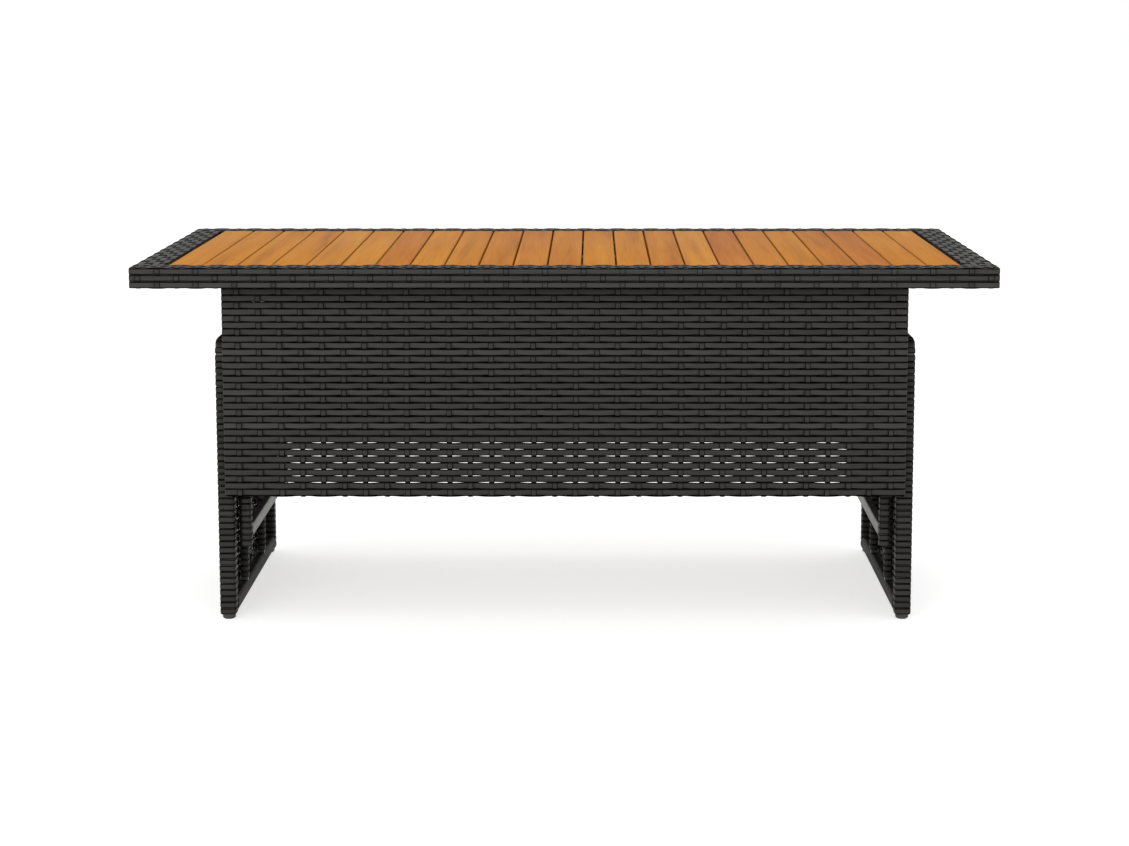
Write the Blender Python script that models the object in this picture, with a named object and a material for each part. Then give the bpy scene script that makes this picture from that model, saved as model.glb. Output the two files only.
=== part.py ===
"""Height-adjustable wicker coffee table with a slatted acacia top.

Metres, +Z up. The origin is on the floor under the middle of the table, +X runs along its length and
the front is at -Y. Two woven leg frames stand on the floor, joined by two stretchers. The top, with its
woven aprons and four inner posts, slides up and down between the leg frames, and four hand screws in
the stretchers' brackets hold its height. The model stands in the low position.
"""
import math

import bmesh
import bpy
from mathutils import Matrix, Vector

# Whole table
LENGTH = 1.000
DEPTH = 0.500
HEIGHT = 0.430
GAP = 0.0003                    # left between pieces that touch
OVERLAP = 0.002                 # how far a cut or a welded part reaches past its neighbour

# Table top: a tube frame sleeved in wicker, with planks inside it
RIM_HEIGHT = 0.025
RIM_LONG_WIDTH = 0.034          # front and back
RIM_END_WIDTH = 0.0365          # left and right
WEAVE_WALL = 0.0019             # thickness of the woven sleeve
PLANK_COUNT = 23
PLANK_PITCH = 0.040
PLANK_WIDTH = 0.038
PLANK_THICKNESS = 0.012
PLANK_TOP = HEIGHT - 0.0008
PLANK_EDGE = 0.0012             # eased edge
BEARER_HEIGHT = 0.0096
BEARER_WIDTH = 0.030
RAIL_TUCK = 0.002               # how far the planks' opening overlaps the tube rails

# Aprons: a woven sheet on a steel rod frame, front and back
APRON_HALF = 0.402
APRON_FACE = 0.200              # outer face, from the middle of the table
APRON_SHEET = 0.0035
APRON_ROD = 0.0077
ROD_INSET = 0.0018              # sheet to rod at each side
HEM_INSET = 0.0015              # sheet to rod at the hem
APRON_BOTTOM = 0.152
APRON_HEM = 0.0112
APRON_SIDE_ROD = 0.0135

# Inner frame that slides with the top
POST = 0.015                    # deep, and POST_WIDTH along the table
POST_WIDTH = 0.0125
POST_OUTER_X = 0.387
POST_OUTER_Y = 0.177
POST_BOTTOM = 0.087
POST_EDGE = 0.0015
LOWER_RAIL_WIDTH = 0.010
LOWER_RAIL_HEIGHT = 0.015
LOWER_RAIL_BOTTOM = 0.097
LOWER_RAIL_EDGE = 0.0012

# Leg frames
LEG = 0.020                     # square section, wicker wrap included
LEG_OUTER_X = 0.413
LEG_OUTER_Y = 0.186
LEG_BOTTOM = 0.006
LEG_TOP = 0.339
LEG_CORNER = 0.018              # rounded upper corners
CORNER_STEPS = 8
BOTTOM_RAIL = 0.017
MID_POST = 0.011
MID_POST_Y = 0.075              # centre line
MID_POST_DEPTH = 0.0105
MID_POST_INSET = 0.0002         # keeps its face clear of the frame's own
SIDE_SHEET = 0.0035

# Stretchers and the brackets that guide the posts
STRETCHER = 0.019
STRETCHER_Y = 0.140             # centre line
STRETCHER_TOP = 0.3375
BRACKET_X = 0.368               # inner face
BRACKET_WALL = 0.003
BRACKET_REACH = 0.184
BRACKET_DROP = 0.005            # below the stretcher's underside
BRACKET_STEP = 0.002            # below the stretcher's upper face

# Foot glides
GLIDE_RADIUS = 0.0078
GLIDE_EDGE = 0.0016
STEM_RADIUS = 0.0040
STEM_LENGTH = 0.012
STEM_CLEARANCE = 0.0003
STEM_PLAY = 0.001               # over the stem's end

# Hand screws
SCREW_RADIUS = 0.0030
SCREW_HOLE = 0.0034
KNOB_RADIUS = 0.0115
KNOB_LOBE = 0.0014
KNOB_LOBES = 5
KNOB_LENGTH = 0.013
KNOB_OFFSET = 0.0075            # from the bracket's inner face to the knob
COLLAR_RADIUS = 0.0050
KNOB_STEPS = 40
ROUND_STEPS = 24

SIDES = (("left", -1), ("right", 1))
ENDS = (("front", -1), ("back", 1))


# ---------------------------------------------------------------- tools

def clear_scene():
    for old in list(bpy.data.objects):
        bpy.data.objects.remove(old, do_unlink=True)


def make_material(name, color, roughness, metallic=0.0):
    material = bpy.data.materials.new(name)
    material.use_nodes = True
    shader = material.node_tree.nodes["Principled BSDF"]
    shader.inputs["Base Color"].default_value = (*color, 1.0)
    shader.inputs["Roughness"].default_value = roughness
    shader.inputs["Metallic"].default_value = metallic
    material.diffuse_color = (*color, 1.0)
    return material


def link_mesh(name, bm, origin, material, parent=None):
    """Turn a bmesh in world coordinates into an object whose origin is at origin."""
    bmesh.ops.translate(bm, vec=-Vector(origin), verts=bm.verts)
    bmesh.ops.recalc_face_normals(bm, faces=bm.faces)
    mesh = bpy.data.meshes.new(name)
    bm.to_mesh(mesh)
    bm.free()
    if material:
        mesh.materials.append(material)
    piece = bpy.data.objects.new(name, mesh)
    bpy.context.scene.collection.objects.link(piece)
    piece.location = Vector(origin) - (parent.location if parent else Vector())
    piece.parent = parent
    return piece


def box_mesh(low, high, edge=0.0):
    """A box between two corners, its edges eased by one chamfer."""
    bm = bmesh.new()
    size = [b - a for a, b in zip(low, high)]
    centre = [(a + b) / 2 for a, b in zip(low, high)]
    matrix = Matrix.Translation(centre) @ Matrix.Diagonal((*size, 1.0))
    bmesh.ops.create_cube(bm, size=1.0, matrix=matrix)
    if edge:
        bmesh.ops.bevel(bm, geom=list(bm.edges), offset=edge, segments=1, affect="EDGES")
    return bm


def box(name, low, high, material, parent=None, edge=0.0):
    centre = [(a + b) / 2 for a, b in zip(low, high)]
    return link_mesh(name, box_mesh(low, high, edge), centre, material, parent)


def prism_mesh(outline, depth):
    """Extrude an outline of 3-D points, in order, by the vector depth."""
    bm = bmesh.new()
    face = bm.faces.new([bm.verts.new(point) for point in outline])
    extruded = bmesh.ops.extrude_face_region(bm, geom=[face])
    moved = [item for item in extruded["geom"] if isinstance(item, bmesh.types.BMVert)]
    bmesh.ops.translate(bm, vec=depth, verts=moved)
    return bm


def cylinder_mesh(start, direction, radius, length):
    direction = Vector(direction).normalized()
    turn = direction.to_track_quat("Z", "Y").to_matrix().to_4x4()
    middle = Vector(start) + direction * (length / 2)
    bm = bmesh.new()
    bmesh.ops.create_cone(
        bm, cap_ends=True, segments=ROUND_STEPS, radius1=radius, radius2=radius,
        depth=length, matrix=Matrix.Translation(middle) @ turn)
    return bm


def combine(target, bm, operation):
    """Join a bmesh in world coordinates to the target, or cut it away."""
    tool = link_mesh("tool", bm, (0, 0, 0), None)
    modifier = target.modifiers.new("combine", "BOOLEAN")
    modifier.operation = operation
    modifier.object = tool
    bpy.context.view_layer.update()
    depsgraph = bpy.context.evaluated_depsgraph_get()
    result = bpy.data.meshes.new_from_object(target.evaluated_get(depsgraph))
    result.name = target.name
    target.modifiers.clear()
    target.data = result
    bpy.data.objects.remove(tool, do_unlink=True)


def span(sign, near, far):
    """Low and high coordinate of a stretch from near to far on one side of the middle."""
    return min(sign * near, sign * far), max(sign * near, sign * far)


def smooth(piece, degrees=40.0):
    piece.data.shade_smooth()
    piece.data.set_sharp_from_angle(angle=math.radians(degrees))


# ---------------------------------------------------------------- top

def make_planks(parent, material):
    half_length = DEPTH / 2 - RIM_LONG_WIDTH - 2 * GAP
    for index in range(PLANK_COUNT):
        x = (index - (PLANK_COUNT - 1) / 2) * PLANK_PITCH
        low = (x - PLANK_WIDTH / 2, -half_length, PLANK_TOP - PLANK_THICKNESS)
        high = (x + PLANK_WIDTH / 2, half_length, PLANK_TOP)
        box(f"plank_{index + 1:02d}", low, high, material, parent, PLANK_EDGE)


def make_top_rails(parent, material):
    """Four tubes welded into a rectangle, under the woven rim."""
    skin = WEAVE_WALL + GAP
    low_z, high_z = HEIGHT - RIM_HEIGHT + skin, HEIGHT - skin
    outer_x, outer_y = LENGTH / 2 - skin, DEPTH / 2 - skin
    inner_x = LENGTH / 2 - RIM_END_WIDTH + RAIL_TUCK
    inner_y = DEPTH / 2 - RIM_LONG_WIDTH + RAIL_TUCK
    for end, sign in ENDS:
        y0, y1 = span(sign, inner_y, outer_y)
        box(f"top_rail_{end}", (-outer_x, y0, low_z), (outer_x, y1, high_z), material, parent)
    for side, sign in SIDES:
        x0, x1 = span(sign, inner_x, outer_x)
        y = inner_y - GAP
        box(f"top_rail_{side}", (x0, -y, low_z), (x1, y, high_z), material, parent)


def bearer_bottom():
    return PLANK_TOP - PLANK_THICKNESS - GAP - BEARER_HEIGHT


def make_bearers(parent, material):
    """Flat bars under the planks, from one end rail to the other."""
    half = LENGTH / 2 - RIM_END_WIDTH + RAIL_TUCK - GAP
    front_y = APRON_FACE - APRON_SHEET - GAP
    rows = (
        ("bearer_front", -front_y, -front_y + BEARER_WIDTH),
        ("bearer_middle", -BEARER_WIDTH / 2, BEARER_WIDTH / 2),
        ("bearer_back", front_y - BEARER_WIDTH, front_y))
    top = bearer_bottom() + BEARER_HEIGHT
    for name, y0, y1 in rows:
        box(name, (-half, y0, bearer_bottom()), (half, y1, top), material, parent)


def sleeve_mesh(start, end, inward, width, mitre):
    """A C-shaped woven sleeve, open on its inward side, between two mitred corners.

    start and end are outer corners at floor level. mitre is how far the inner edge is shortened.
    """
    along = (end - start).normalized()
    bottom, top = HEIGHT - RIM_HEIGHT, HEIGHT
    wall = WEAVE_WALL
    section = (
        (0, bottom), (width, bottom), (width, bottom + wall), (wall, bottom + wall),
        (wall, top - wall), (width, top - wall), (width, top), (0, top))
    bm = bmesh.new()
    rings = []
    for corner, sense in ((start, 1), (end, -1)):
        ring = []
        for depth, z in section:
            shift = sense * (mitre * depth / width + GAP / 2)
            point = corner + inward * depth + along * shift
            ring.append(bm.verts.new((point.x, point.y, z)))
        rings.append(ring)
    count = len(section)
    for i in range(count):
        j = (i + 1) % count
        bm.faces.new((rings[0][i], rings[0][j], rings[1][j], rings[1][i]))
    bm.faces.new(rings[0])
    bm.faces.new(list(reversed(rings[1])))
    return bm


def make_rim_weave(parent, material):
    x, y = LENGTH / 2, DEPTH / 2
    for end, sign in ENDS:
        start, stop = Vector((-x, sign * y, 0)), Vector((x, sign * y, 0))
        inward = Vector((0, -sign, 0))
        bm = sleeve_mesh(start, stop, inward, RIM_LONG_WIDTH, RIM_END_WIDTH)
        link_mesh(f"rim_weave_{end}", bm, (0, sign * y, HEIGHT), material, parent)
    for side, sign in SIDES:
        start, stop = Vector((sign * x, -y, 0)), Vector((sign * x, y, 0))
        inward = Vector((-sign, 0, 0))
        bm = sleeve_mesh(start, stop, inward, RIM_END_WIDTH, RIM_LONG_WIDTH)
        link_mesh(f"rim_weave_{side}", bm, (sign * x, 0, HEIGHT), material, parent)


def make_aprons(parent, wicker, steel):
    """Each apron is a woven sheet over a rod frame: a hem bar with a rod up each side."""
    sheet_top = PLANK_TOP - PLANK_THICKNESS - GAP
    rod_top = bearer_bottom() - GAP
    low = APRON_BOTTOM + HEM_INSET
    rod_x = APRON_HALF - ROD_INSET
    for end, sign in ENDS:
        y0, y1 = span(sign, APRON_FACE - APRON_SHEET, APRON_FACE)
        box(f"apron_weave_{end}", (-APRON_HALF, y0, APRON_BOTTOM),
            (APRON_HALF, y1, sheet_top), wicker, parent)
        rod_y = sign * (APRON_FACE - APRON_SHEET - GAP)
        inside = rod_x - APRON_SIDE_ROD
        corners = (
            (-rod_x, low), (rod_x, low), (rod_x, rod_top), (inside, rod_top),
            (inside, low + APRON_HEM), (-inside, low + APRON_HEM),
            (-inside, rod_top), (-rod_x, rod_top))
        outline = [(x, rod_y, z) for x, z in corners]
        bm = prism_mesh(outline, (0, -sign * APRON_ROD, 0))
        link_mesh(f"apron_frame_{end}", bm, (0, rod_y, low), steel, parent)


def make_inner_frame(parent, wicker, steel):
    """Four posts that reach down from the bearers, with a bare rail between each pair."""
    top = bearer_bottom() - GAP
    for side, sx in SIDES:
        inner = POST_OUTER_X - POST_WIDTH
        x0, x1 = span(sx, inner, POST_OUTER_X)
        for end, sy in ENDS:
            y0, y1 = span(sy, POST_OUTER_Y - POST, POST_OUTER_Y)
            box(f"inner_post_{end}_{side}", (x0, y0, POST_BOTTOM), (x1, y1, top),
                wicker, parent, POST_EDGE)
        x0, x1 = span(sx, inner, inner + LOWER_RAIL_WIDTH)
        y = POST_OUTER_Y - POST - GAP
        box(f"lower_rail_{side}", (x0, -y, LOWER_RAIL_BOTTOM),
            (x1, y, LOWER_RAIL_BOTTOM + LOWER_RAIL_HEIGHT), steel, parent, LOWER_RAIL_EDGE)


# ---------------------------------------------------------------- base

def leg_outline(x):
    """Outer outline of a leg frame in the YZ plane, its two upper corners rounded."""
    points = [(x, -LEG_OUTER_Y, LEG_BOTTOM), (x, LEG_OUTER_Y, LEG_BOTTOM)]
    for sign in (1, -1):
        for i in range(CORNER_STEPS + 1):
            turn = math.pi / 2 * (i if sign > 0 else CORNER_STEPS - i) / CORNER_STEPS
            y = sign * (LEG_OUTER_Y - LEG_CORNER + LEG_CORNER * math.cos(turn))
            z = LEG_TOP - LEG_CORNER + LEG_CORNER * math.sin(turn)
            points.append((x, y, z))
    return points


def make_leg_frames(material):
    for side, sign in SIDES:
        inner_x = sign * (LEG_OUTER_X - LEG)
        bm = prism_mesh(leg_outline(inner_x), (sign * LEG, 0, 0))
        centre = (sign * (LEG_OUTER_X - LEG / 2), 0, 0)
        frame = link_mesh(f"leg_frame_{side}", bm, centre, material)
        window_y = LEG_OUTER_Y - LEG
        x0, x1 = span(sign, LEG_OUTER_X - LEG - OVERLAP, LEG_OUTER_X + OVERLAP)
        window = box_mesh((x0, -window_y, LEG_BOTTOM + BOTTOM_RAIL), (x1, window_y, LEG_TOP - LEG))
        combine(frame, window, "DIFFERENCE")
        x0, x1 = span(sign, LEG_OUTER_X - LEG + MID_POST_INSET, LEG_OUTER_X - LEG + MID_POST_DEPTH)
        for y in (-MID_POST_Y, MID_POST_Y):
            post = box_mesh((x0, y - MID_POST / 2, LEG_BOTTOM + BOTTOM_RAIL / 2),
                            (x1, y + MID_POST / 2, LEG_TOP - LEG / 2))
            combine(frame, post, "UNION")
        for y in (-1, 1):
            foot = (centre[0], y * (LEG_OUTER_Y - LEG / 2), LEG_BOTTOM - OVERLAP)
            hole = cylinder_mesh(foot, (0, 0, 1), STEM_RADIUS + STEM_CLEARANCE,
                                 STEM_LENGTH + OVERLAP + STEM_PLAY)
            combine(frame, hole, "DIFFERENCE")


def make_side_weave(material):
    """A woven sheet inside each leg frame, on the outer side of the thin middle posts."""
    y = LEG_OUTER_Y - LEG - GAP
    inner = LEG_OUTER_X - LEG + MID_POST_DEPTH + GAP
    for side, sign in SIDES:
        x0, x1 = span(sign, inner, inner + SIDE_SHEET)
        box(f"side_weave_{side}", (x0, -y, LEG_BOTTOM + BOTTOM_RAIL + GAP),
            (x1, y, LEG_TOP - LEG - GAP), material)


def make_stretchers(material):
    """Tubes between the leg frames. A bracket near each end stands beside the sliding post."""
    half = LEG_OUTER_X - LEG - GAP
    low, high = STRETCHER_TOP - STRETCHER, STRETCHER_TOP
    for end, sy in ENDS:
        y0, y1 = span(sy, STRETCHER_Y - STRETCHER / 2, STRETCHER_Y + STRETCHER / 2)
        tube = box(f"stretcher_{end}", (-half, y0, low), (half, y1, high), material)
        for sx in (-1, 1):
            x0, x1 = span(sx, BRACKET_X, BRACKET_X + BRACKET_WALL)
            y0, y1 = span(sy, STRETCHER_Y, BRACKET_REACH)
            plate = box_mesh((x0, y0, low - BRACKET_DROP), (x1, y1, high - BRACKET_STEP))
            combine(tube, plate, "UNION")
            start = (sx * (BRACKET_X - OVERLAP), screw_y(sy), screw_z())
            hole = cylinder_mesh(start, (sx, 0, 0), SCREW_HOLE, BRACKET_WALL + 2 * OVERLAP)
            combine(tube, hole, "DIFFERENCE")


def make_glides(material):
    """Round plastic feet with a stem that plugs into the leg."""
    top = LEG_BOTTOM - GAP
    profile = (
        (0, 0), (GLIDE_RADIUS - GLIDE_EDGE, 0), (GLIDE_RADIUS, GLIDE_EDGE), (GLIDE_RADIUS, top),
        (STEM_RADIUS, top), (STEM_RADIUS, top + STEM_LENGTH), (0, top + STEM_LENGTH))
    for side, sx in SIDES:
        for end, sy in ENDS:
            x = sx * (LEG_OUTER_X - LEG / 2)
            y = sy * (LEG_OUTER_Y - LEG / 2)
            bm = bmesh.new()
            verts = [bm.verts.new((x + r, y, z)) for r, z in profile]
            edges = [bm.edges.new(pair) for pair in zip(verts, verts[1:])]
            bmesh.ops.spin(bm, geom=verts + edges, cent=(x, y, 0), axis=(0, 0, 1),
                           angle=2 * math.pi, steps=ROUND_STEPS, use_duplicate=False)
            bmesh.ops.remove_doubles(bm, verts=bm.verts, dist=1e-6)
            foot = link_mesh(f"foot_glide_{end}_{side}", bm, (x, y, 0), material)
            smooth(foot)


# ---------------------------------------------------------------- hand screws

def screw_y(sign):
    return sign * (POST_OUTER_Y - POST / 2)


def screw_z():
    return STRETCHER_TOP - STRETCHER / 2 - BRACKET_STEP


def make_hand_screws(material):
    """Lobed knobs on a screw that presses the inner post through the bracket."""
    tip = POST_OUTER_X - POST_WIDTH - GAP
    knob_end = BRACKET_X - KNOB_OFFSET
    for side, sx in SIDES:
        for end, sy in ENDS:
            y, z = screw_y(sy), screw_z()
            outline = []
            for i in range(KNOB_STEPS):
                turn = 2 * math.pi * i / KNOB_STEPS
                radius = KNOB_RADIUS + KNOB_LOBE * math.cos(KNOB_LOBES * turn)
                point = (sx * (knob_end - KNOB_LENGTH), y + radius * math.cos(turn),
                         z + radius * math.sin(turn))
                outline.append(point)
            bm = prism_mesh(outline, (sx * KNOB_LENGTH, 0, 0))
            knob = link_mesh(f"hand_screw_{end}_{side}", bm, (sx * knob_end, y, z), material)
            collar = cylinder_mesh((sx * (knob_end - OVERLAP), y, z), (sx, 0, 0), COLLAR_RADIUS,
                                   KNOB_OFFSET + OVERLAP - GAP)
            combine(knob, collar, "UNION")
            start = (sx * (knob_end - OVERLAP / 2), y, z)
            shank = cylinder_mesh(start, (sx, 0, 0), SCREW_RADIUS, tip - knob_end + OVERLAP / 2)
            combine(knob, shank, "UNION")
            smooth(knob)


def main():
    clear_scene()
    wicker = make_material("black_wicker", (0.045, 0.044, 0.041), 0.55)
    acacia = make_material("oiled_acacia", (0.56, 0.27, 0.06), 0.45)
    steel = make_material("black_steel", (0.035, 0.035, 0.035), 0.45)
    bare_steel = make_material("grey_painted_steel", (0.16, 0.15, 0.13), 0.45)
    plastic = make_material("black_plastic", (0.03, 0.03, 0.03), 0.5)

    lift = bpy.data.objects.new("top_lift_axis", None)
    lift.location = (0, 0, POST_BOTTOM)
    bpy.context.scene.collection.objects.link(lift)

    make_planks(lift, acacia)
    make_top_rails(lift, steel)
    make_bearers(lift, steel)
    make_rim_weave(lift, wicker)
    make_aprons(lift, wicker, steel)
    make_inner_frame(lift, wicker, bare_steel)

    make_leg_frames(wicker)
    make_side_weave(wicker)
    make_stretchers(steel)
    make_glides(plastic)
    make_hand_screws(plastic)


main()
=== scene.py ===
import math

import bmesh
import bpy
import numpy as np
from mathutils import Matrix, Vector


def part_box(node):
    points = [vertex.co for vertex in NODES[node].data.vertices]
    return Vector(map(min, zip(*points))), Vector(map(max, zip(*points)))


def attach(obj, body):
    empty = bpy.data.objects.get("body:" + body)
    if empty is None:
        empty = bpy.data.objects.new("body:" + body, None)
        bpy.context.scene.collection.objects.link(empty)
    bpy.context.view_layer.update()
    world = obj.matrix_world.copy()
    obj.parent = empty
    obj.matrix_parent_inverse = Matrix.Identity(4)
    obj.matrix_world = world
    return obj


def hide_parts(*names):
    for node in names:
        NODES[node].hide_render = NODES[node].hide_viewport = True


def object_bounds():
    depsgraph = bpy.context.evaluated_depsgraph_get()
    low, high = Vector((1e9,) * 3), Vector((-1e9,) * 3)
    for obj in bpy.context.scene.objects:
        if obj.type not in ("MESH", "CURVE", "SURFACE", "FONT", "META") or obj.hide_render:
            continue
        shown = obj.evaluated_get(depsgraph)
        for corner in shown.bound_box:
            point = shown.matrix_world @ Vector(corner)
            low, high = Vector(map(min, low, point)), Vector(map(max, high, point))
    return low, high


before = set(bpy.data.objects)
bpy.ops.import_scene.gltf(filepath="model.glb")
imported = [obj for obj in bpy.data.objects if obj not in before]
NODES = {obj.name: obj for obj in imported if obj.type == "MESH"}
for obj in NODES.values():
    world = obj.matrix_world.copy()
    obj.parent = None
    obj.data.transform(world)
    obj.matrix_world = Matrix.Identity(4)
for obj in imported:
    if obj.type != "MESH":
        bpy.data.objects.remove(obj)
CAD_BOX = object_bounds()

# Looks for the height-adjustable wicker table. Metres, +Z up, the front at -Y. Flat plastic strands are
# swept one by one and woven over and under each other; every place comes from the CAD pieces' boxes.

RNG = np.random.RandomState(11)
SIDES = (("left", -1), ("right", 1))
ENDS = (("front", -1), ("back", 1))

# Strand sizes
STRAND_THICK = 0.0014
ROW_PITCH = {"front": 0.00795, "back": 0.0080}          # apron rows
HEM_ROW_Z = {"front": 0.1577, "back": 0.1582}           # middle of the lowest row on an apron's face
ROW_WIDTH = 0.0078
STAKE_WIDTH = 0.0064
RIM_EDGE_SHADE = 0.84                 # below 1, the painted shade on a rim row's edges is narrower
STAKE_EDGE_SHADE = 0.86               # the same for a stake
APRON_STAKES = 32
APRON_STAKE_PITCH = 0.02475
HEM_TURN_UP = 0.0135            # how far the weave comes up behind the hem
WRAP_PITCH = 0.00744            # bands round the legs, posts and rails
WRAP_WIDTH = 0.0071
RIM_STAKES = 45                 # along the front, and along the back
RIM_STAKE_PITCH = 1.0 / RIM_STAKES
RIM_END_STAKES = 22             # along each end
RIM_ROWS = 11                   # rows round the rim's section
RIM_FACE_ROWS = (4, 5, 6)       # of which these show on the outer face
RIM_ROW_FILL = 0.93             # a rim row's width, as a share of its pitch
RIM_STRAND_THICK = 0.0011
RIM_SKIN = 0.0011               # from the rim's outer surface to the middle of its strands
RIM_ROW_OVER = 0.0006
RIM_STAKE_OVER = 0.0005
RIM_OVERLAP = 0.0008            # how far an end's weave runs under the front's and back's
SIDE_STAKES = 13                # in each side panel
PLANKS = 23
MID_POST_Y = 0.075
SHADED_LOW_ROWS = 8                    # apron rows from the hem up that get a low tone, painted shade
CLEARANCE = 0.0001              # keeps strands inside the CAD pieces' boxes
OVER = 0.0009                   # how far a row stands in or out where it crosses a stake
STAKE_OVER = 0.0006
DIP = 0.00009                   # how far a row sinks where it passes in front


# ---------------------------------------------------------------- strands

def unit(vectors):
    length = np.linalg.norm(vectors, axis=-1, keepdims=True)
    return vectors / np.maximum(length, 1e-12)


def arc_lengths(points):
    """Distance along a polyline at each of its points."""
    steps = np.linalg.norm(np.diff(points, axis=0), axis=1)
    return np.concatenate([[0.0], np.cumsum(steps)])


def crimp(phase):
    """+1 at even whole numbers and -1 at odd ones, with flattened crests."""
    wave = np.cos(np.pi * phase)
    return wave * (1.5 - 0.5 * wave * wave)


# Half of the width and half of the thickness, round a flat strand with a slight crown
STRAND_SECTION = np.array([
    (-1.0, -0.1), (-0.90, 0.50), (-0.62, 0.88), (0.0, 1.0), (0.62, 0.88), (0.90, 0.50), (1.0, -0.1),
    (0.72, -0.9), (-0.72, -0.9)])


def square_section(corner=0.25, steps=3):
    """A square of half-size 1 with rounded corners, in the order of STRAND_SECTION."""
    points = []
    for quarter in range(4):
        start = math.pi - quarter * math.pi / 2
        middle = start - math.pi / 4
        cx = math.copysign(1 - corner, math.cos(middle))
        cy = math.copysign(1 - corner, math.sin(middle))
        for step in range(steps + 1):
            turn = start - step * math.pi / 2 / steps
            points.append((cx + corner * math.cos(turn), cy + corner * math.sin(turn)))
    return np.array(points)


class Strands:
    """Collects swept strands and turns them into one mesh.

    The point attribute "strand" holds the distance along, the place across (-1 to 1) and a tone; a second
    point attribute is 1 where the strand has dived behind its neighbours, and the material paints shade
    there.
    """

    def __init__(self):
        self.verts, self.faces, self.marks, self.recess_shade = [], [], [], []
        self.count = 0

    def add(self, path, normal, width, thick=STRAND_THICK, closed=False, section=STRAND_SECTION,
            recess_shade=0.0, edge=1.0, tone=1.0):
        path = np.asarray(path, float)
        count, around = len(path), len(section)
        if closed:
            tangent = unit(np.roll(path, -1, 0) - np.roll(path, 1, 0))
        else:
            tangent = unit(np.gradient(path, axis=0))
        across = unit(np.cross(tangent, np.broadcast_to(normal, path.shape)))
        out = np.cross(across, tangent)
        half = np.broadcast_to(np.asarray(width, float), (count,))[:, None, None] / 2
        verts = (path[:, None] + across[:, None] * section[None, :, 0:1] * half
                 + out[:, None] * section[None, :, 1:2] * thick / 2)
        marks = np.empty((count, around, 3))
        marks[..., 0] = arc_lengths(path)[:, None]
        # An edge below 1 narrows the band of painted shade along the strand's edges.
        marks[..., 1] = section[None, :, 0] * edge
        marks[..., 2] = RNG.rand() * tone
        base = self.count + np.arange(count)[:, None] * around
        ring = base + np.arange(around)[None, :]
        beside = base + (np.arange(around)[None, :] + 1) % around
        if closed:
            after, after_beside = np.roll(ring, -1, 0), np.roll(beside, -1, 0)
        else:
            after, after_beside = ring[1:], beside[1:]
            ring, beside = ring[:-1], beside[:-1]
        quads = np.stack([ring, beside, after_beside, after], axis=-1).reshape(-1, 4)
        self.faces.extend(quads.tolist())
        if not closed:
            first, last = self.count, self.count + (count - 1) * around
            self.faces.append([first + k for k in reversed(range(around))])
            self.faces.append([last + k for k in range(around)])
        self.verts.append(verts.reshape(-1, 3))
        self.marks.append(marks.reshape(-1, 3))
        shade_amount = np.clip(np.broadcast_to(np.asarray(recess_shade, float), (count,)), 0, 1)
        self.recess_shade.append(np.repeat(shade_amount, around))
        self.count += count * around

    def build(self, name, material, body, nodes=()):
        mesh = bpy.data.meshes.new(name)
        mesh.from_pydata(np.concatenate(self.verts).tolist(), [], self.faces)
        marks = mesh.attributes.new("strand", "FLOAT_VECTOR", "POINT")
        marks.data.foreach_set("vector", np.concatenate(self.marks).astype(np.float32).ravel())
        shade_amount = mesh.attributes.new("recess_shade", "FLOAT", "POINT")
        shade_amount.data.foreach_set("value", np.concatenate(self.recess_shade).astype(np.float32))
        mesh.shade_smooth()
        mesh.set_sharp_from_angle(angle=math.radians(62))
        add_piece(name, mesh, material, body, nodes)


def add_piece(name, mesh, material, body, nodes):
    mesh.materials.append(material)
    piece = bpy.data.objects.new(name, mesh)
    bpy.context.scene.collection.objects.link(piece)
    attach(piece, body)
    if nodes:
        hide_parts(*nodes)


def rounded(corners, radius, step, arc_steps=4):
    """A 2-D polyline with its corners turned into arcs and its straights cut every step."""
    corners = [np.array(c, float) for c in corners]
    points = [corners[0]]
    for before, corner, after in zip(corners, corners[1:], corners[2:]):
        came, goes = unit(corner - before), unit(after - corner)
        turn = math.acos(float(np.clip(came @ goes, -1, 1)))
        reach = radius * math.tan(turn / 2)
        start = corner - came * reach
        sense = math.copysign(1.0, came[0] * goes[1] - came[1] * goes[0])
        centre = start + radius * sense * np.array([-came[1], came[0]])
        fill(points, start, step)
        spoke = start - centre
        for i in range(1, arc_steps + 1):
            a = sense * turn * i / arc_steps
            c, s = math.cos(a), math.sin(a)
            points.append(centre + np.array([c * spoke[0] - s * spoke[1], s * spoke[0] + c * spoke[1]]))
    fill(points, corners[-1], step)
    return np.array(points)


def fill(points, goal, step):
    """Append points from the last one to goal, about a step apart."""
    start = points[-1]
    pieces = max(1, int(round(np.linalg.norm(goal - start) / step)))
    for i in range(1, pieces + 1):
        points.append(start + (goal - start) * i / pieces)


def side_normals(points, sense):
    """Normals of a 2-D path, on its left for sense 1 and on its right for -1."""
    tangent = unit(np.gradient(points, axis=0))
    return sense * np.stack([-tangent[:, 1], tangent[:, 0]], axis=1)


class Outline:
    """A rounded 2-D section that is read by the distance along it."""

    def __init__(self, corners, radius, sense):
        self.points = rounded(corners, radius, 0.002, 6)
        self.along = arc_lengths(self.points)
        self.normals = side_normals(self.points, sense)
        self.length = self.along[-1]

    def at(self, distance):
        point = np.stack([np.interp(distance, self.along, self.points[:, k]) for k in (0, 1)], -1)
        normal = np.stack([np.interp(distance, self.along, self.normals[:, k]) for k in (0, 1)], -1)
        return point, unit(normal)


def row_recess_shade(crossing):
    """How much painted shade a row gets where it dives behind a stake (0 to 1 once clipped), from its
    crossing: +1 in front of a stake, -1 behind.
    """
    return (-0.985 - crossing) / 0.015


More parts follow.
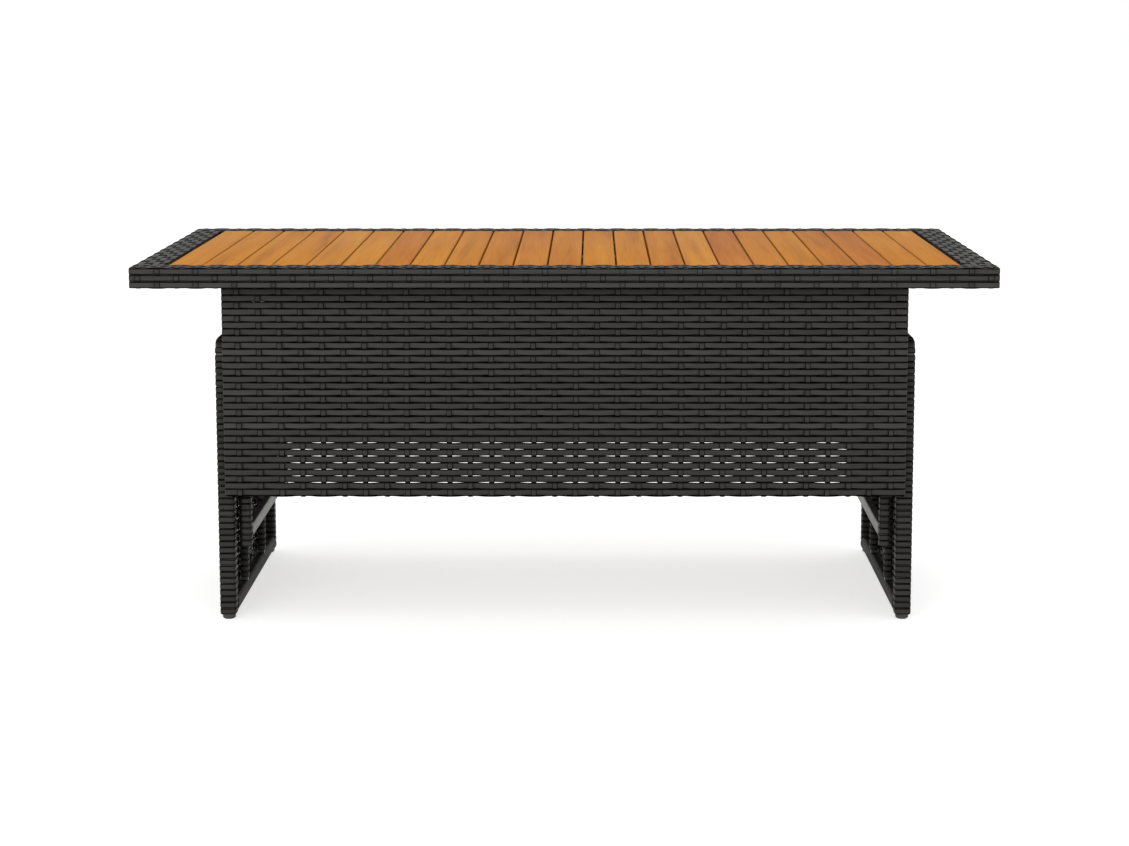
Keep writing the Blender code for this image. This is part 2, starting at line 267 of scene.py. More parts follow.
def stake_recess_shade(crossing):
    """The same for a stake, whose painted shade starts well before the row beside it covers it."""
    return (0.78 - crossing) / 0.30


def stretch(low, high, step):
    return np.linspace(low, high, max(2, int(round((high - low) / step)) + 1))


# ---------------------------------------------------------------- materials

class Nodes:
    """Short calls for building a shader's node tree."""

    def __init__(self, name):
        self.material = bpy.data.materials.new(name)
        self.material.use_nodes = True
        self.tree = self.material.node_tree
        self.shader = self.tree.nodes["Principled BSDF"]

    def new(self, kind, **settings):
        node = self.tree.nodes.new(kind)
        for key, value in settings.items():
            setattr(node, key, value)
        return node

    def link(self, source, target):
        self.tree.links.new(source, target)

    def put(self, socket, value):
        if isinstance(value, bpy.types.NodeSocket):
            self.link(value, socket)
        else:
            socket.default_value = value

    def math(self, operation, a, b=0.0, c=0.0):
        node = self.new("ShaderNodeMath", operation=operation)
        for socket, value in zip(node.inputs, (a, b, c)):
            self.put(socket, value)
        return node.outputs[0]

    def combine(self, x, y, z):
        node = self.new("ShaderNodeCombineXYZ")
        for socket, value in zip(node.inputs, (x, y, z)):
            self.put(socket, value)
        return node.outputs[0]

    def separate(self, vector):
        node = self.new("ShaderNodeSeparateXYZ")
        self.link(vector, node.inputs[0])
        return node.outputs

    def attribute(self, name):
        return self.separate(self.new("ShaderNodeAttribute", attribute_name=name).outputs["Vector"])

    def noise(self, vector, scale, detail=3.0, roughness=0.5, distortion=0.0):
        node = self.new("ShaderNodeTexNoise")
        self.put(node.inputs["Vector"], vector)
        node.inputs["Scale"].default_value = scale
        node.inputs["Detail"].default_value = detail
        node.inputs["Roughness"].default_value = roughness
        node.inputs["Distortion"].default_value = distortion
        return node.outputs["Fac"]

    def ramp(self, value, stops):
        node = self.new("ShaderNodeValToRGB")
        points = node.color_ramp.elements
        while len(points) < len(stops):
            points.new(0.5)
        for point, (place, color) in zip(points, stops):
            point.position = place
            point.color = (*color, 1.0)
        self.link(value, node.inputs[0])
        return node.outputs["Color"]

    def mix(self, factor, a, b):
        node = self.new("ShaderNodeMix", data_type="RGBA")
        self.put(node.inputs[0], factor)
        self.put(node.inputs[6], a if isinstance(a, bpy.types.NodeSocket) else (*a, 1.0))
        self.put(node.inputs[7], b if isinstance(b, bpy.types.NodeSocket) else (*b, 1.0))
        return node.outputs[2]

    def span(self, value, low, high, to_low=0.0, to_high=1.0):
        node = self.new("ShaderNodeMapRange")
        for socket, number in zip(node.inputs, (value, low, high, to_low, to_high)):
            self.put(socket, number)
        return node.outputs[0]

    def bump(self, height, strength, distance):
        node = self.new("ShaderNodeBump")
        node.inputs["Strength"].default_value = strength
        node.inputs["Distance"].default_value = distance
        self.link(height, node.inputs["Height"])
        self.link(node.outputs[0], self.shader.inputs["Normal"])


def wicker_material(name, dark, light):
    """Flat extruded strand: fine ribs along it, faint streaks, and painted shade on its rolled edges and
    where it dives behind its neighbours.
    """
    n = Nodes(name)
    along, across, tone = n.attribute("strand")
    shift = n.math("MULTIPLY", tone, 37.0)
    streaks = n.noise(n.combine(n.math("MULTIPLY", along, 30.0), n.math("MULTIPLY", across, 2.6), shift),
                      1.0, 4.0, 0.6)
    mottle = n.noise(n.combine(n.math("MULTIPLY", along, 260.0), across, shift), 1.0, 2.0)
    ribs = n.math("SINE", n.math("MULTIPLY", across, 20.0))
    blend = n.math("ADD", n.math("MULTIPLY", tone, 0.45), n.math("MULTIPLY", streaks, 0.75))
    color = n.mix(n.math("SUBTRACT", blend, 0.10), dark, light)
    # Painted shade: a strand's rolled edges go near-black.
    edge = n.span(n.math("ABSOLUTE", across), 0.60, 0.80)
    # Painted shade: a strand goes near-black where it dives behind its neighbours.
    recess_shade = n.new("ShaderNodeAttribute", attribute_name="recess_shade").outputs["Fac"]
    painted_shade = n.math("MAXIMUM", n.math("MULTIPLY", edge, 0.97), n.math("MULTIPLY", recess_shade, 0.95))
    color = n.mix(painted_shade, color, (0.0006, 0.0006, 0.0005))
    n.link(color, n.shader.inputs["Base Color"])
    n.put(n.shader.inputs["Roughness"], n.span(n.math("ADD", streaks, n.math("MULTIPLY", mottle, 0.4)),
                                               0.4, 1.0, 0.46, 0.60))
    # The painted-shade edges and recesses are matt too. An exporter that can't follow this link falls back
    # to a glossier strand.
    n.link(n.math("MULTIPLY", n.math("SUBTRACT", 1.0, painted_shade), 0.15), n.shader.inputs["Specular IOR Level"])
    height = n.math("ADD", n.math("MULTIPLY", ribs, 0.35), n.math("MULTIPLY", streaks, 0.5))
    n.bump(n.math("ADD", height, n.math("MULTIPLY", mottle, 0.2)), 0.5, 0.00025)
    return n.material


def acacia_material():
    """Oiled acacia: honey to reddish boards, straight grain with darker bands and fine pores."""
    n = Nodes("oiled_acacia")
    place = n.separate(n.new("ShaderNodeTexCoord").outputs["Object"])
    tone, red, shift = n.attribute("board")
    offset = n.math("MULTIPLY", shift, 9.0)
    x = n.math("ADD", place[0], offset)
    bands = n.noise(n.combine(n.math("MULTIPLY", x, 55.0), n.math("MULTIPLY", place[1], 2.2),
                              n.math("ADD", n.math("MULTIPLY", place[2], 55.0), offset)),
                    1.0, 5.0, 0.55, 0.35)
    fine = n.noise(n.combine(n.math("MULTIPLY", x, 520.0), n.math("MULTIPLY", place[1], 9.0),
                             n.math("MULTIPLY", place[2], 520.0)), 1.0, 3.0, 0.6)
    pores = n.noise(n.combine(n.math("MULTIPLY", x, 1500.0), n.math("MULTIPLY", place[1], 60.0),
                              n.math("MULTIPLY", place[2], 900.0)), 1.0, 2.0)
    cloud = n.noise(n.combine(n.math("MULTIPLY", x, 9.0), n.math("MULTIPLY", place[1], 3.5), offset),
                    1.0, 2.0)
    honey = n.ramp(bands, ((0.22, (0.235, 0.075, 0.008)), (0.44, (0.400, 0.148, 0.012)),
                           (0.62, (0.450, 0.182, 0.018)), (0.82, (0.510, 0.235, 0.034))))
    ruddy = n.ramp(bands, ((0.22, (0.190, 0.048, 0.008)), (0.50, (0.330, 0.098, 0.016)),
                           (0.82, (0.430, 0.160, 0.032))))
    color = n.mix(red, honey, ruddy)
    color = n.mix(n.math("MULTIPLY", tone, 0.45), color, (0.56, 0.30, 0.075))
    color = n.mix(n.span(cloud, 0.35, 0.75, 0.0, 0.28), color, (0.34, 0.115, 0.012))
    color = n.mix(n.span(fine, 0.50, 0.80, 0.0, 0.30), color, (0.20, 0.065, 0.009))
    color = n.mix(n.span(pores, 0.66, 0.78, 0.0, 0.35), color, (0.13, 0.040, 0.007))
    n.link(color, n.shader.inputs["Base Color"])
    n.put(n.shader.inputs["Roughness"], n.span(n.math("ADD", fine, bands), 0.6, 1.4, 0.62, 0.74))
    n.shader.inputs["Specular IOR Level"].default_value = 0.06
    n.bump(n.math("ADD", n.math("MULTIPLY", fine, 0.7), n.math("MULTIPLY", pores, -0.5)), 0.35, 0.0003)
    return n.material


def coated_metal(name, low, high, roughness, wear):
    """Powder-coated steel: orange-peel bump, faint cloudiness and rubbed spots."""
    n = Nodes(name)
    place = n.new("ShaderNodeTexCoord").outputs["Object"]
    cloud = n.noise(place, 24.0, 4.0)
    peel = n.noise(place, 1400.0, 2.0)
    rub = n.noise(place, 160.0, 5.0, 0.65)
    color = n.mix(cloud, low, high)
    color = n.mix(n.span(rub, 0.60, 0.78, 0.0, wear), color, tuple(min(1.0, 1.9 * c) for c in high))
    n.link(color, n.shader.inputs["Base Color"])
    n.put(n.shader.inputs["Roughness"], n.span(rub, 0.3, 0.7, roughness - 0.06, roughness + 0.08))
    n.bump(n.math("ADD", peel, n.math("MULTIPLY", cloud, 0.4)), 0.25, 0.0002)
    return n.material


def moulded_plastic(name, color):
    """Black moulded plastic with a fine grained surface."""
    n = Nodes(name)
    place = n.new("ShaderNodeTexCoord").outputs["Object"]
    grain = n.noise(place, 2600.0, 2.0)
    scuff = n.noise(place, 90.0, 6.0, 0.7)
    n.link(n.mix(n.span(scuff, 0.45, 0.8), color, tuple(1.8 * c for c in color)),
           n.shader.inputs["Base Color"])
    n.put(n.shader.inputs["Roughness"], n.span(scuff, 0.3, 0.8, 0.42, 0.60))
    n.bump(grain, 0.3, 0.0002)
    return n.material


# ---------------------------------------------------------------- table top

# How pale and how red the boards that stand out are, from the left. The others differ only a little.
LIGHT_BOARDS = {0: 0.3, 4: 0.3, 5: 0.2, 15: 0.35}
RED_BOARDS = {6: 0.55, 9: 0.4, 10: 0.5, 11: 0.35, 14: 0.4, 16: 0.8, 17: 0.4, 19: 0.5, 20: 0.8}


def make_planks(material):
    for index in range(PLANKS):
        name = f"board_{index + 1:02d}"
        node = f"plank_{index + 1:02d}"
        low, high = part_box(node)
        bm = bmesh.new()
        bmesh.ops.create_cube(bm, size=1.0)
        for vert in bm.verts:
            vert.co = [low[k] if vert.co[k] < 0 else high[k] for k in range(3)]
        bmesh.ops.bevel(bm, geom=list(bm.edges), offset=0.0014, segments=3, profile=0.5,
                        affect="EDGES")
        sink = 0.0003 * RNG.rand()
        for vert in bm.verts:
            vert.co.z -= sink
        mesh = bpy.data.meshes.new(name)
        bm.to_mesh(mesh)
        bm.free()
        look = (LIGHT_BOARDS.get(index, 0.1 * RNG.rand()), RED_BOARDS.get(index, 0.1 * RNG.rand()),
                RNG.rand())
        marks = mesh.attributes.new("board", "FLOAT_VECTOR", "POINT")
        marks.data.foreach_set("vector", np.tile(look, len(mesh.vertices)).astype(np.float32))
        mesh.shade_smooth()
        mesh.set_sharp_from_angle(angle=math.radians(40))
        add_piece(name, mesh, material, "top", [node])


def rim_outline(width):
    """The rim's woven skin, from the inner top edge over the outer face to the inner bottom edge."""
    low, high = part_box("rim_weave_front")
    top, bottom = high[2] - RIM_SKIN, low[2] + RIM_SKIN
    return Outline([(width, top), (RIM_SKIN, top), (RIM_SKIN, bottom), (width, bottom)], 0.0026, -1)


def rim_rows(outline):
    """Distances along the outline of the rim's lengthwise rows."""
    return (np.arange(RIM_ROWS) + 0.5) * outline.length / RIM_ROWS


def rim_crimp(index, row):
    """+1 where a row lies over the stake of that index, -1 where the stake shows."""
    return -crimp(index + row - 3)


def make_rim(material):
    half_x, half_y = CAD_BOX[1][:2]
    front_low, front_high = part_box("rim_weave_front")
    long_width = front_high[1] - front_low[1]
    end_low, end_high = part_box("rim_weave_left")
    end_width = end_high[0] - end_low[0] + RIM_OVERLAP
    end_pitch = 2 * half_y / RIM_END_STAKES

    for end, sy in ENDS:
        def place(x, d, z):
            return np.stack([x, sy * (half_y - d), z], 1)

        strands = Strands()
        outline = rim_outline(long_width)
        row_pitch = outline.length / RIM_ROWS
        xs = stretch(-half_x + 0.0012, half_x - 0.0012, RIM_STAKE_PITCH / 6)
        index = (xs + half_x) / RIM_STAKE_PITCH - 0.5
        for r, v in enumerate(rim_rows(outline)):
            if r in RIM_FACE_ROWS:
                continue
            point, normal = outline.at(v)
            crossing = rim_crimp(index, r)
            lift = RIM_ROW_OVER * crossing
            path = place(xs, point[0] + normal[0] * lift, point[1] + normal[1] * lift)
            strands.add(path, (0, sy * -normal[0], normal[1]), row_pitch * RIM_ROW_FILL,
                        RIM_STRAND_THICK, recess_shade=row_recess_shade(crossing), edge=RIM_EDGE_SHADE)
        for i in range(RIM_STAKES):
            x = -half_x + (i + 0.5) * RIM_STAKE_PITCH
            v = stretch(0.0005, outline.length - 0.0005, row_pitch / 4)
            d, z, normal, crossing = rim_stake(outline, v, i)
            sway = 0.0002 * np.sin(300 * d + i)
            turn = np.stack([0 * d, -sy * normal[:, 0], normal[:, 1]], 1)
            strands.add(place(np.full_like(d, x) + sway, d, z), turn, STAKE_WIDTH, RIM_STRAND_THICK,
                        recess_shade=stake_recess_shade(crossing), edge=STAKE_EDGE_SHADE)
        strands.build(f"rim_weave_{end}_strands", material, "top", [f"rim_weave_{end}"])

    for side, sx in SIDES:
        def place(y, d, z):
            return np.stack([sx * (half_x - d), y, z], 1)

        strands = Strands()
        outline = rim_outline(end_width)
        row_pitch = outline.length / RIM_ROWS
        inner = half_y - long_width + RIM_OVERLAP
        ys = stretch(-inner, inner, end_pitch / 6)
        index = (ys + half_y) / end_pitch - 0.5
        for r, v in enumerate(rim_rows(outline)):
            if r in RIM_FACE_ROWS:
                continue
            point, normal = outline.at(v)
            crossing = rim_crimp(index + 1, r)
            lift = RIM_ROW_OVER * crossing
            path = place(ys, point[0] + normal[0] * lift, point[1] + normal[1] * lift)
            strands.add(path, (sx * -normal[0], 0, normal[1]), row_pitch * RIM_ROW_FILL,
                        RIM_STRAND_THICK, recess_shade=row_recess_shade(crossing), edge=RIM_EDGE_SHADE)
        for i in range(RIM_END_STAKES):
            y = -half_y + (i + 0.5) * end_pitch
            # A stake under the front's or back's weave only shows on the outer face
            inside = abs(y) < inner - 0.004
            reach = 0.0005 if inside else outline.length * RIM_FACE_ROWS[0] / RIM_ROWS - 0.001
            v = stretch(reach, outline.length - reach, row_pitch / 4)
            d, z, normal, crossing = rim_stake(outline, v, i + 1)
            turn = np.stack([-sx * normal[:, 0], 0 * d, normal[:, 1]], 1)
            strands.add(place(np.full_like(d, y), d, z), turn, STAKE_WIDTH, RIM_STRAND_THICK,
                        recess_shade=stake_recess_shade(crossing), edge=STAKE_EDGE_SHADE)
        strands.build(f"rim_weave_{side}_strands", material, "top", [f"rim_weave_{side}"])

    make_rim_bands(material, half_x, half_y, end_pitch)


def rim_stake(outline, v, index):
    """Depth, height, normals and crossing of one stake across the rows of an outline."""
    point, normal = outline.at(v)
    crossing = -rim_crimp(index, v / (outline.length / RIM_ROWS) - 0.5)
    d = point[:, 0] + normal[:, 0] * RIM_STAKE_OVER * crossing
    z = point[:, 1] + normal[:, 1] * RIM_STAKE_OVER * crossing
    return d, z, normal, crossing


def make_rim_bands(material, half_x, half_y, end_pitch):
    """The rows on the outer face, each one ring round the whole top."""
    outline = rim_outline(0.034)
    strands = Strands()
    width = outline.length / RIM_ROWS * RIM_ROW_FILL
    for r in RIM_FACE_ROWS:
        point, _ = outline.at(rim_rows(outline)[r])
        x, y, radius = half_x - RIM_SKIN, half_y - RIM_SKIN, 0.0035
        ring = rounded([(0, -y), (x, -y), (x, y), (-x, y), (-x, -y), (0, -y)], radius, 0.0037, 4)[:-1]
        normals = side_normals(ring, -1)
        across_front = (ring[:, 0] + half_x) / RIM_STAKE_PITCH - 0.5
        across_side = (ring[:, 1] + half_y) / end_pitch + 0.5
        on_side = np.abs(normals[:, 0]) > 0.7
        index = np.where(on_side, across_side, across_front)
        crossing = rim_crimp(index, r)
        corner = (x - np.abs(ring[:, 0]) < 0.006) & (y - np.abs(ring[:, 1]) < 0.006)
        crossing = np.where(corner, 0.0, crossing)
        lift = RIM_ROW_OVER * crossing
        path = np.stack([ring[:, 0] + normals[:, 0] * lift, ring[:, 1] + normals[:, 1] * lift,
                         np.full(len(ring), point[1])], 1)
        flat = np.stack([normals[:, 0], normals[:, 1], 0 * lift], 1)
        strands.add(path, flat, width, RIM_STRAND_THICK, closed=True, recess_shade=row_recess_shade(crossing))
    strands.build("rim_outer_rows", material, "top")


# ---------------------------------------------------------------- aprons

def make_apron(end, sy, material):
    """One woven apron. The rows below the hem (j under 0) turn in and up behind it.

    crowd is 1 where the rows sit close together and leave no slits, near the sides and high up.
    """
    low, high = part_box(f"apron_weave_{end}")
    face = max(abs(low[1]), abs(high[1]))
    rod_low, rod_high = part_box(f"apron_frame_{end}")
    back = face - min(abs(rod_low[1]), abs(rod_high[1])) + STRAND_THICK / 2 + CLEARANCE
    front = 0.0018
    edge = high[0] - STRAND_THICK / 2 - CLEARANCE
    bottom = low[2] + STRAND_THICK / 2 + 0.0002
    outline = Outline([(front, high[2]), (front, bottom), (back, bottom), (back, low[2] + HEM_TURN_UP)],
                      0.0024, -1)
    pitch = ROW_PITCH[end]
    hem = high[2] - HEM_ROW_Z[end]
    first = -(APRON_STAKES - 1) / 2 * APRON_STAKE_PITCH
    rows = Strands()
    top_row = int((hem - ROW_WIDTH / 2) / pitch)
    for j in range(-3, top_row + 1):
        v = hem - j * pitch
        if v > outline.length - ROW_WIDTH / 3:
            continue
        point, normal = outline.at(v)
        wobble = 0.00015 * RNG.randn()
        if j >= 0:
            flat = rounded([(-edge + 0.0165, back), (-edge, back), (-edge, front), (edge, front),
                            (edge, back), (edge - 0.0165, back)], 0.0026, APRON_STAKE_PITCH / 7, 4)
            out = side_normals(flat, -1)
            on_face = np.clip((back - flat[:, 1]) / (back - front), 0, 1) > 0.9
            index = (flat[:, 0] - first) / APRON_STAKE_PITCH
            fade = np.clip((edge - np.abs(flat[:, 0])) / 0.012, 0, 1)
            crossing = np.where(on_face, -crimp(index + j) * fade, 0.0)
            lift = OVER * crossing
            x = flat[:, 0] + out[:, 0] * lift
            d = flat[:, 1] + out[:, 1] * lift
            crowd = np.clip(np.maximum((np.abs(x) - 0.329) / 0.004, (point[1] - 0.33) / 0.05), 0, 1)
            z = point[1] + wobble - DIP * (1 - crowd) * crossing
            path = np.stack([x, sy * (face - d), z], 1)
            turn = np.stack([out[:, 0], -sy * out[:, 1], 0 * x], 1)
        else:
            x = stretch(-edge + 0.001, edge - 0.001, APRON_STAKE_PITCH / 7)
            crossing = -crimp((x - first) / APRON_STAKE_PITCH + j)
            crowd = 0
            lift = OVER * crossing / 2
            d = point[0] + normal[0] * lift
            path = np.stack([x, sy * (face - d), point[1] + normal[1] * lift], 1)
            turn = (0, -sy * normal[0], normal[1])
        # The rows near the hem get a low tone: painted shade towards the bottom of the apron.
        rows.add(path, turn, ROW_WIDTH + 0.0005 * crowd, recess_shade=row_recess_shade(crossing),
                 tone=0.1 if j < SHADED_LOW_ROWS else 1.0)
    rows.build(f"apron_{end}_rows", material, "top", [f"apron_weave_{end}"])

    stakes = Strands()
    for i in range(APRON_STAKES):
        v = stretch(0.0005, outline.length - 0.001, pitch / 6)
        point, normal = outline.at(v)
        j = (hem - v) / pitch
        crossing = crimp(i + j)
        lift = STAKE_OVER * crossing
        d = point[:, 0] + normal[:, 0] * lift
        sway = 0.0005 * np.sin(v * 21 + RNG.rand() * 6) * np.clip(v / 0.05, 0, 1)
        x = first + i * APRON_STAKE_PITCH + sway
        path = np.stack([x, sy * (face - d), point[:, 1] + normal[:, 1] * lift], 1)
        turn = np.stack([0 * d, -sy * normal[:, 0], normal[:, 1]], 1)
        stakes.add(path, turn, STAKE_WIDTH, recess_shade=stake_recess_shade(crossing), edge=STAKE_EDGE_SHADE, tone=0.4)
    stakes.build(f"apron_{end}_stakes", material, "top")


# ---------------------------------------------------------------- wrapped tubes

def wound_ring(half_u, half_v, corner=0.0030):
    """A closed rounded rectangle and its outward normals, for one band round a tube."""
    u, v = half_u, half_v
    ring = rounded([(0, -v), (u, -v), (u, v), (-u, v), (-u, -v), (0, -v)], corner, 0.004, 3)[:-1]
    tangent = unit(np.roll(ring, -1, 0) - np.roll(ring, 1, 0))
    return ring, np.stack([tangent[:, 1], -tangent[:, 0]], 1)


def wind(strands, path, u_axis, half_u, half_v, ridged=False):
    """Bands of strand wound round a tube whose middle follows path.

    u_axis is the section's first direction. With ridged, every other band bulges on the face that looks
    along u_axis, as if it passed over a stake, and the bands between them sink in.
    """
    path = np.asarray(path, float)
    along = arc_lengths(path)
    tangents = unit(np.gradient(path, axis=0))
    u_axis = np.asarray(u_axis, float)
    count = int(along[-1] / WRAP_PITCH)
    start = (along[-1] - (count - 1) * WRAP_PITCH) / 2
    ring, normals = wound_ring(half_u, half_v)
    for k in range(count):
        s = start + k * WRAP_PITCH
        centre = np.array([np.interp(s, along, path[:, a]) for a in range(3)])
        tangent = unit(np.array([np.interp(s, along, tangents[:, a]) for a in range(3)]))
        v_axis = np.cross(tangent, u_axis)
        tilt = 0.012 * RNG.randn()
        bulge = np.zeros(len(ring))
        if ridged:
            on_face = ring[:, 0] > half_u - 0.0004
            near = np.exp(-(ring[:, 1] / 0.0042) ** 2)
            bulge = np.where(on_face, near * (0.0006 if k % 2 else -0.0002), 0.0)
        u = ring[:, 0] + normals[:, 0] * bulge
        v = ring[:, 1] + normals[:, 1] * bulge
        points = (centre + u[:, None] * u_axis + v[:, None] * v_axis
                  + tangent * (tilt * ring[:, 0:1] + 0.0001 * RNG.randn()))
        outward = normals[:, 0:1] * u_axis + normals[:, 1:2] * v_axis
        strands.add(points, outward, WRAP_WIDTH * (1 + 0.02 * RNG.randn()), closed=True)


def leg_path():
    """Middle of the leg frame's tube in (y, z), up the front leg, along the top and down the back."""
    low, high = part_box("leg_frame_right")
    tube = high[0] - low[0]
    y, top = high[1] - tube / 2, high[2] - tube / 2
    return rounded([(-y, low[2]), (-y, top), (y, top), (y, low[2])], 0.0085, 0.004, 4)


def make_leg_frame(side, sx, material, steel):
    low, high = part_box(f"leg_frame_{side}")
    tube = high[0] - low[0]
    x = (low[0] + high[0]) / 2
    half = tube / 2 - STRAND_THICK / 2 - 0.0002
    flat = leg_path()
    path = np.stack([np.full(len(flat), x), flat[:, 0], flat[:, 1]], 1)
    bottom_z = low[2] + 0.0085
    inner = high[1] - tube
    rail = np.stack([np.full(60, x), np.linspace(-inner, inner, 60), np.full(60, bottom_z)], 1)

    wraps = Strands()
    wind(wraps, path, (sx, 0, 0), half, half, ridged=True)
    wind(wraps, rail, (sx, 0, 0), half, 0.0078)
    wraps.build(f"leg_wrap_{side}", material, "base", [f"leg_frame_{side}"])

    core = Strands()
    section = square_section()
    core.add(path, (1, 0, 0), 2 * half - 0.0010, 2 * half - 0.0010, section=section)
    core.add(rail, (1, 0, 0), 2 * 0.0070, 2 * half - 0.0010, section=section)
    mid_x = sx * (abs(x) - tube / 2 + 0.0054)
    for y in (-MID_POST_Y, MID_POST_Y):
        heights = np.linspace(low[2] + 0.014, high[2] - 0.016, 30)
        post = np.stack([np.full(30, mid_x), np.full(30, y), heights], 1)
        core.add(post, (1, 0, 0), 0.0088, 0.0084, section=section)
    core.build(f"leg_tubes_{side}", steel, "base")

    posts = Strands()
    for y in (-MID_POST_Y, MID_POST_Y):
        heights = np.linspace(low[2] + 0.0175, high[2] - tube, 60)
        post = np.stack([np.full(60, mid_x), np.full(60, y), heights], 1)
        wind(posts, post, (sx, 0, 0), 0.0047, 0.0050)
    posts.build(f"mid_post_wrap_{side}", material, "base")


def make_side_weave(side, sx, material):
    low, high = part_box(f"side_weave_{side}")
    x = (low[0] + high[0]) / 2
    strands = Strands()
    pitch = (high[1] - low[1]) / SIDE_STAKES
    rows = int((high[2] - low[2]) / WRAP_PITCH)
    first_row = low[2] + (high[2] - low[2] - (rows - 1) * WRAP_PITCH) / 2
    y = stretch(low[1] - 0.003, high[1] + 0.003, pitch / 6)
    index = (y - low[1]) / pitch - 0.5
    for r in range(rows):
        z = first_row + r * WRAP_PITCH + 0.0001 * RNG.randn()
        crossing = -crimp(index + r)
        path = np.stack([x + sx * OVER * crossing, y, np.full(len(y), z)], 1)
        strands.add(path, (sx, 0, 0), WRAP_WIDTH, recess_shade=row_recess_shade(crossing))
    z = stretch(low[2] - 0.003, high[2] + 0.003, WRAP_PITCH / 4)
    row = (z - first_row) / WRAP_PITCH
    for i in range(SIDE_STAKES):
        crossing = crimp(i + row)
        path = np.stack([x + sx * STAKE_OVER * crossing, np.full(len(z), low[1] + (i + 0.5) * pitch), z], 1)
        strands.add(path, (sx, 0, 0), STAKE_WIDTH, recess_shade=stake_recess_shade(crossing), edge=STAKE_EDGE_SHADE)
    strands.build(f"side_weave_{side}_strands", material, "base", [f"side_weave_{side}"])


def make_inner_posts(material, steel):
    for end, sy in ENDS:
        for side, sx in SIDES:
            node = f"inner_post_{end}_{side}"
            low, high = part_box(node)
            x, y = (low[0] + high[0]) / 2, (low[1] + high[1]) / 2
            half_x, half_y = ((high[k] - low[k]) / 2 - STRAND_THICK / 2 - CLEARANCE for k in (0, 1))
            column = np.stack([np.full(80, x), np.full(80, y), np.linspace(low[2], high[2], 80)], 1)
            wraps = Strands()
            wind(wraps, column, (sx, 0, 0), half_x, half_y)
            wraps.build(f"post_wrap_{end}_{side}", material, "top", [node])
            core = Strands()
            core.add(column[::8] + (0, 0, 0.0004), (1, 0, 0), 2 * half_y - 0.0010,
                     2 * half_x - 0.0010, section=square_section())
            core.build(f"post_tube_{end}_{side}", steel, "top")


def make_lower_rails(steel):
    for side, sx in SIDES:
        low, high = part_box(f"lower_rail_{side}")
        middle = [(a + b) / 2 for a, b in zip(low, high)]
        ys = stretch(low[1], high[1], 0.02)
        path = np.stack([np.full(len(ys), middle[0]), ys, np.full(len(ys), middle[2])], 1)
        rail = Strands()
        rail.add(path, (0, 0, 1), high[0] - low[0], high[2] - low[2],
                 section=square_section(0.32, 5))
        rail.build(f"lower_rail_{side}_tube", steel, "top", [f"lower_rail_{side}"])


# ---------------------------------------------------------------- stage

def make_stage():
    bm = bmesh.new()
    bmesh.ops.create_grid(bm, x_segments=1, y_segments=1, size=40.0)
    mesh = bpy.data.meshes.new("floor")
    bm.to_mesh(mesh)
    bm.free()
    n = Nodes("pale_floor")
    n.shader.inputs["Base Color"].default_value = (0.52, 0.52, 0.52, 1)
    n.shader.inputs["Emission Color"].default_value = (1, 1, 1, 1)
    n.shader.inputs["Emission Strength"].default_value = 0.62
    n.shader.inputs["Roughness"].default_value = 0.9
    n.shader.inputs["Specular IOR Level"].default_value = 0.1
    mesh.materials.append(n.material)
    floor = bpy.data.objects.new("floor", mesh)
    bpy.context.scene.collection.objects.link(floor)


def area_light(name, location, target, size, power):
    data = bpy.data.lights.new(name, "AREA")
    data.shape = "RECTANGLE"
    data.size, data.size_y = size
    data.energy = power
    light = bpy.data.objects.new(name, data)
    light.location = location
    aim = bpy.data.objects.new(name + "_aim", None)
    aim.location = target
    bpy.context.scene.collection.objects.link(light)
    bpy.context.scene.collection.objects.link(aim)
    track = light.constraints.new("TRACK_TO")
    track.target = aim
    track.track_axis, track.up_axis = "TRACK_NEGATIVE_Z", "UP_Y"


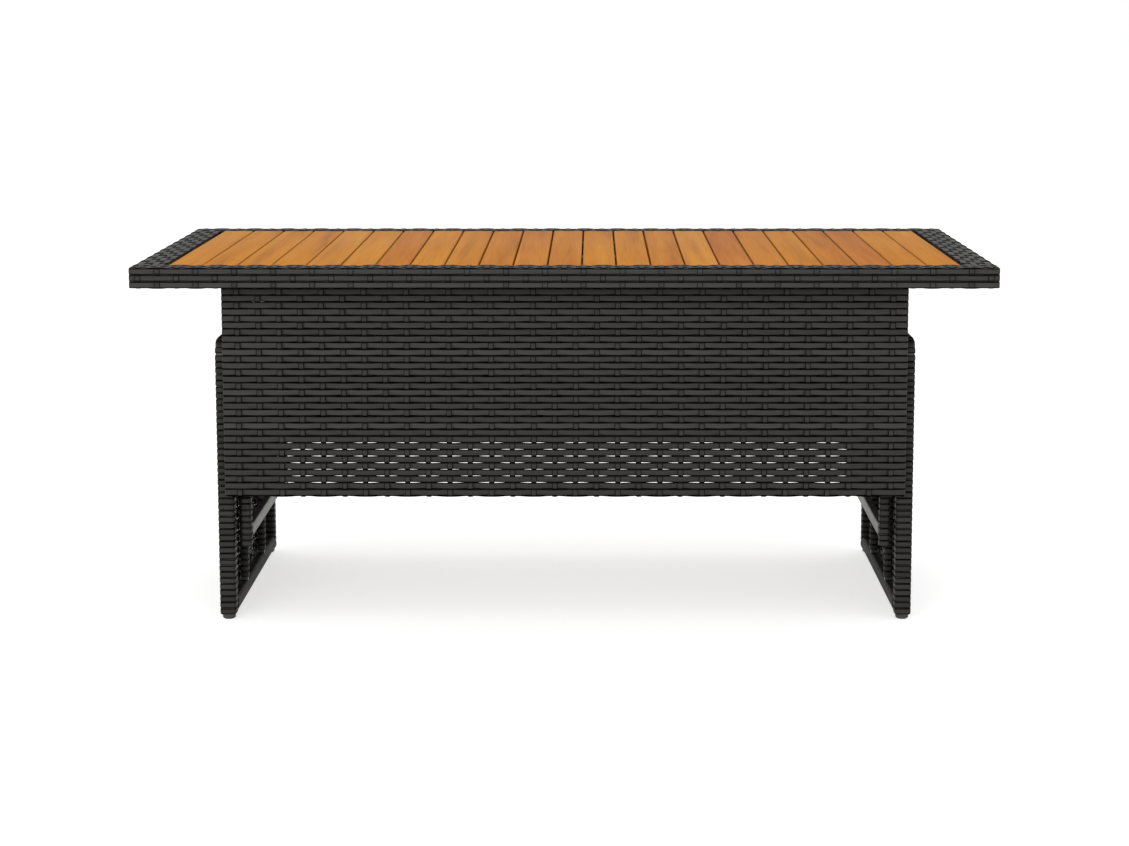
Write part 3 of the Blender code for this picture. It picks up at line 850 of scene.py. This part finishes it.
def make_lights():
    world = bpy.context.scene.world or bpy.data.worlds.new("studio")
    bpy.context.scene.world = world
    world.use_nodes = True
    background = world.node_tree.nodes["Background"]
    background.inputs["Color"].default_value = (1, 1, 1, 1)
    background.inputs["Strength"].default_value = 1.0
    area_light("key", (-0.9, -3.2, 1.5), (0, 0, 0.25), (2.4, 1.4), 42)
    area_light("top", (0.4, 0.2, 3.2), (0, 0, 0.3), (3.0, 2.0), 24)
    bpy.context.scene.view_settings.view_transform = "Standard"


def make_camera():
    data = bpy.data.cameras.new("camera")
    data.sensor_width = 36.0
    data.lens = 76.3
    data.shift_x, data.shift_y = -0.0246, -0.0697
    data.clip_end = 200
    camera = bpy.data.objects.new("camera", data)
    camera.location = (0.032, -2.972, 0.724)
    camera.rotation_euler = (math.radians(90 - 8), 0, 0)
    bpy.context.scene.collection.objects.link(camera)
    bpy.context.scene.camera = camera


def repaint(node, material):
    """Give a CAD piece that stays in view a finished material."""
    data = NODES[node].data
    data.materials.clear()
    data.materials.append(material)


def main():
    wicker = wicker_material("black_wicker", (0.014, 0.0133, 0.0122), (0.044, 0.0415, 0.038))
    # A darker copy of the black wicker, painted shade on the legs, side panels and posts.
    shaded_wicker = wicker_material("shaded_wicker", (0.009, 0.0085, 0.0075), (0.030, 0.028, 0.025))
    acacia = acacia_material()
    black_steel = coated_metal("black_steel", (0.010, 0.010, 0.010), (0.020, 0.020, 0.020), 0.45, 0.2)
    grey_steel = coated_metal("grey_steel", (0.052, 0.048, 0.039), (0.080, 0.074, 0.061), 0.45, 0.3)
    plastic = moulded_plastic("black_plastic", (0.016, 0.016, 0.016))

    make_camera()
    make_planks(acacia)
    make_rim(wicker)
    for end, sy in ENDS:
        make_apron(end, sy, wicker)
        for name in ("top_rail_", "apron_frame_", "stretcher_", "bearer_"):
            repaint(name + end, black_steel)
    repaint("bearer_middle", black_steel)
    for side, sx in SIDES:
        repaint(f"top_rail_{side}", black_steel)
        make_leg_frame(side, sx, shaded_wicker, black_steel)
        make_side_weave(side, sx, shaded_wicker)
        for end, sy in ENDS:
            repaint(f"foot_glide_{end}_{side}", plastic)
            repaint(f"hand_screw_{end}_{side}", plastic)
    make_inner_posts(shaded_wicker, black_steel)
    make_lower_rails(grey_steel)
    make_stage()
    make_lights()


main()
